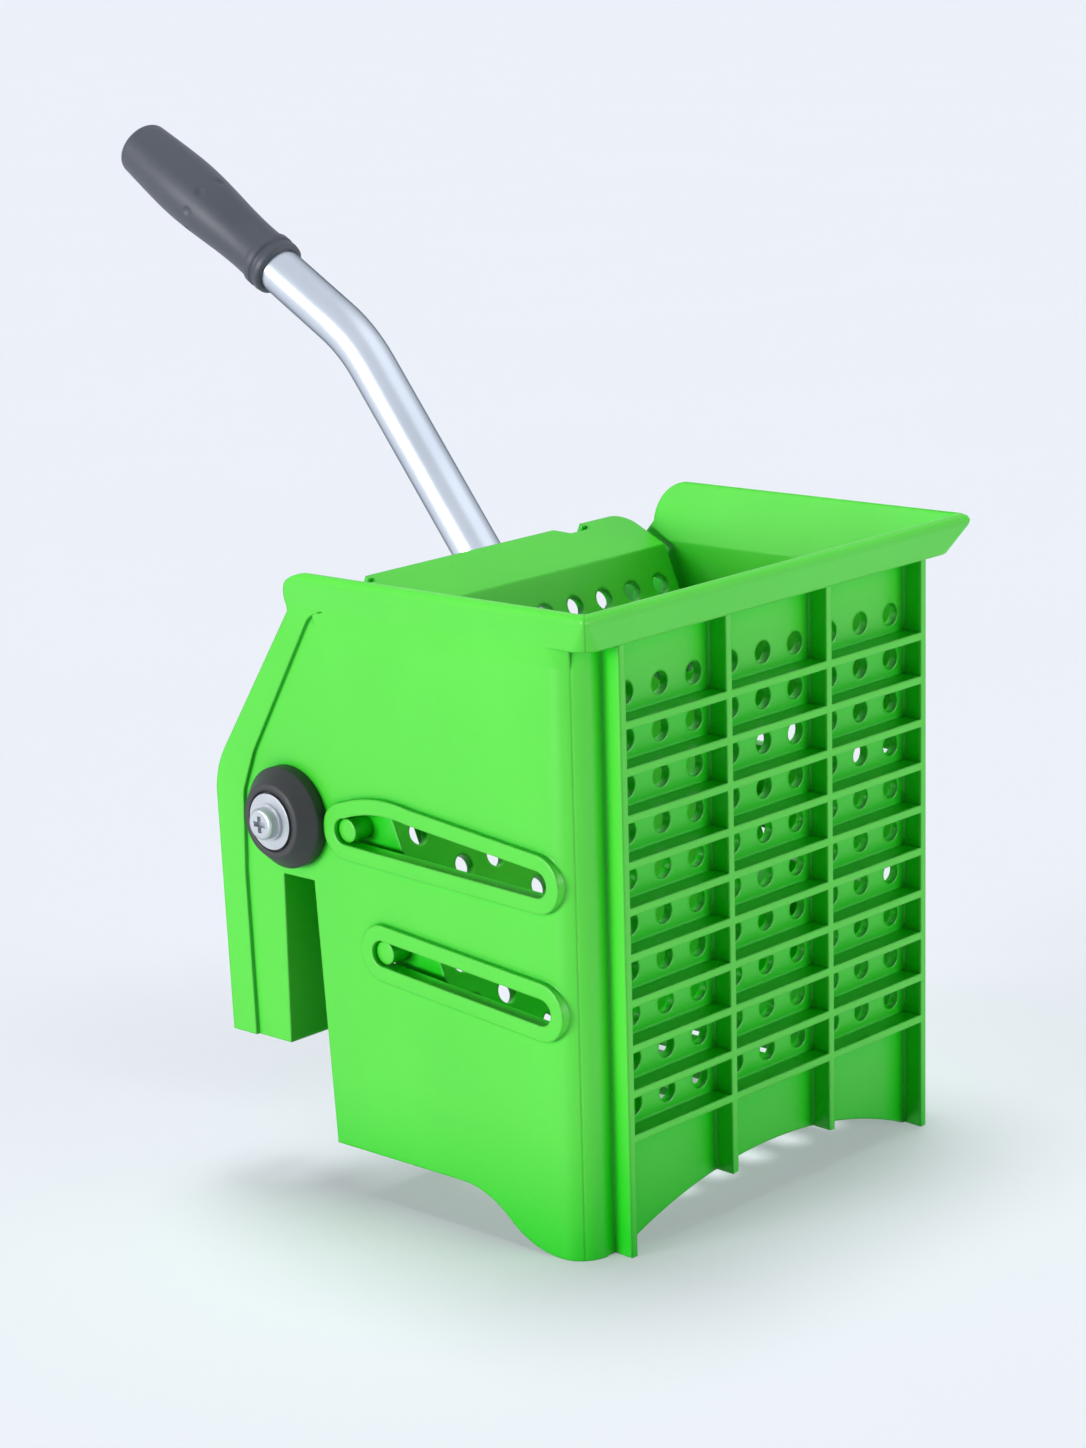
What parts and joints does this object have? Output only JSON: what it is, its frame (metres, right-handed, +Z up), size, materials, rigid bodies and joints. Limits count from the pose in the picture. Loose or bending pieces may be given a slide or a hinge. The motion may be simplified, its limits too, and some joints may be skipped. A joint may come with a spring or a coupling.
{
  "type": "mop wringer",
  "caption": "Press wringer that hangs on a mop bucket: ribbed, perforated hopper with a sliding press plate that a bent hand lever drives through an axle and cranks.",
  "frame": {"origin": "middle of the line on which the bucket's rim carries the wringer, level with the tops of the two hook slots and midway between the side walls", "axes": "+X to the right seen from the front, +Y from the ribbed front wall to the lever's side, +Z up"},
  "size_m": [0.2604, 0.4623, 0.4266],
  "materials": {
    "green_plastic": "smooth moulded polypropylene",
    "bush_black": "moulded nylon",
    "zinc_steel": "zinc plated",
    "zinc_tube": "zinc plated tube",
    "grip_grey": "satin moulded grip"
  },
  "bodies": {
    "hopper": {"front_panel": "green_plastic", "left_side_wall": "green_plastic", "right_side_wall": "green_plastic", "drain_floor": "green_plastic", "left_bush": "bush_black", "right_bush": "bush_black"},
    "lever": {"axle_shaft": "zinc_steel", "axle_washers": "zinc_steel", "axle_screws": "zinc_steel", "lever_hub": "zinc_steel", "lever_tube": "zinc_tube", "grip": "grip_grey", "left_crank": "zinc_steel", "right_crank": "zinc_steel", "crank_pin": "zinc_steel", "pin_rings": "zinc_steel"},
    "carriage": {"lower_guide_pins": "green_plastic"},
    "plate": {"press_plate": "green_plastic", "upper_guide_pins": "green_plastic", "left_bracket": "zinc_steel", "right_bracket": "zinc_steel", "bracket_screws": "zinc_steel"}
  },
  "joints": [
    {"name": "lever_swing", "type": "hinge", "parent": "hopper", "child": "lever", "pos_m": [0, 0.0021, 0.0264], "axis": [1, 0, 0], "range_deg": [0, 82]},
    {"name": "pin_slide", "type": "slide", "parent": "hopper", "child": "carriage", "axis": [0, -0.9962, -0.0872], "range_m": [0, 0.0701]},
    {"name": "plate_tilt", "type": "hinge", "parent": "carriage", "child": "plate", "pos_m": [0, -0.0506, -0.024], "axis": [1, 0, 0], "range_deg": [0, 17.52]}
  ],
  "couplings": [
    {"joint": "pin_slide", "follows": "lever_swing", "m_per_rad": 0.048911},
    {"joint": "plate_tilt", "follows": "lever_swing", "ratio": 0.21341}
  ]
}
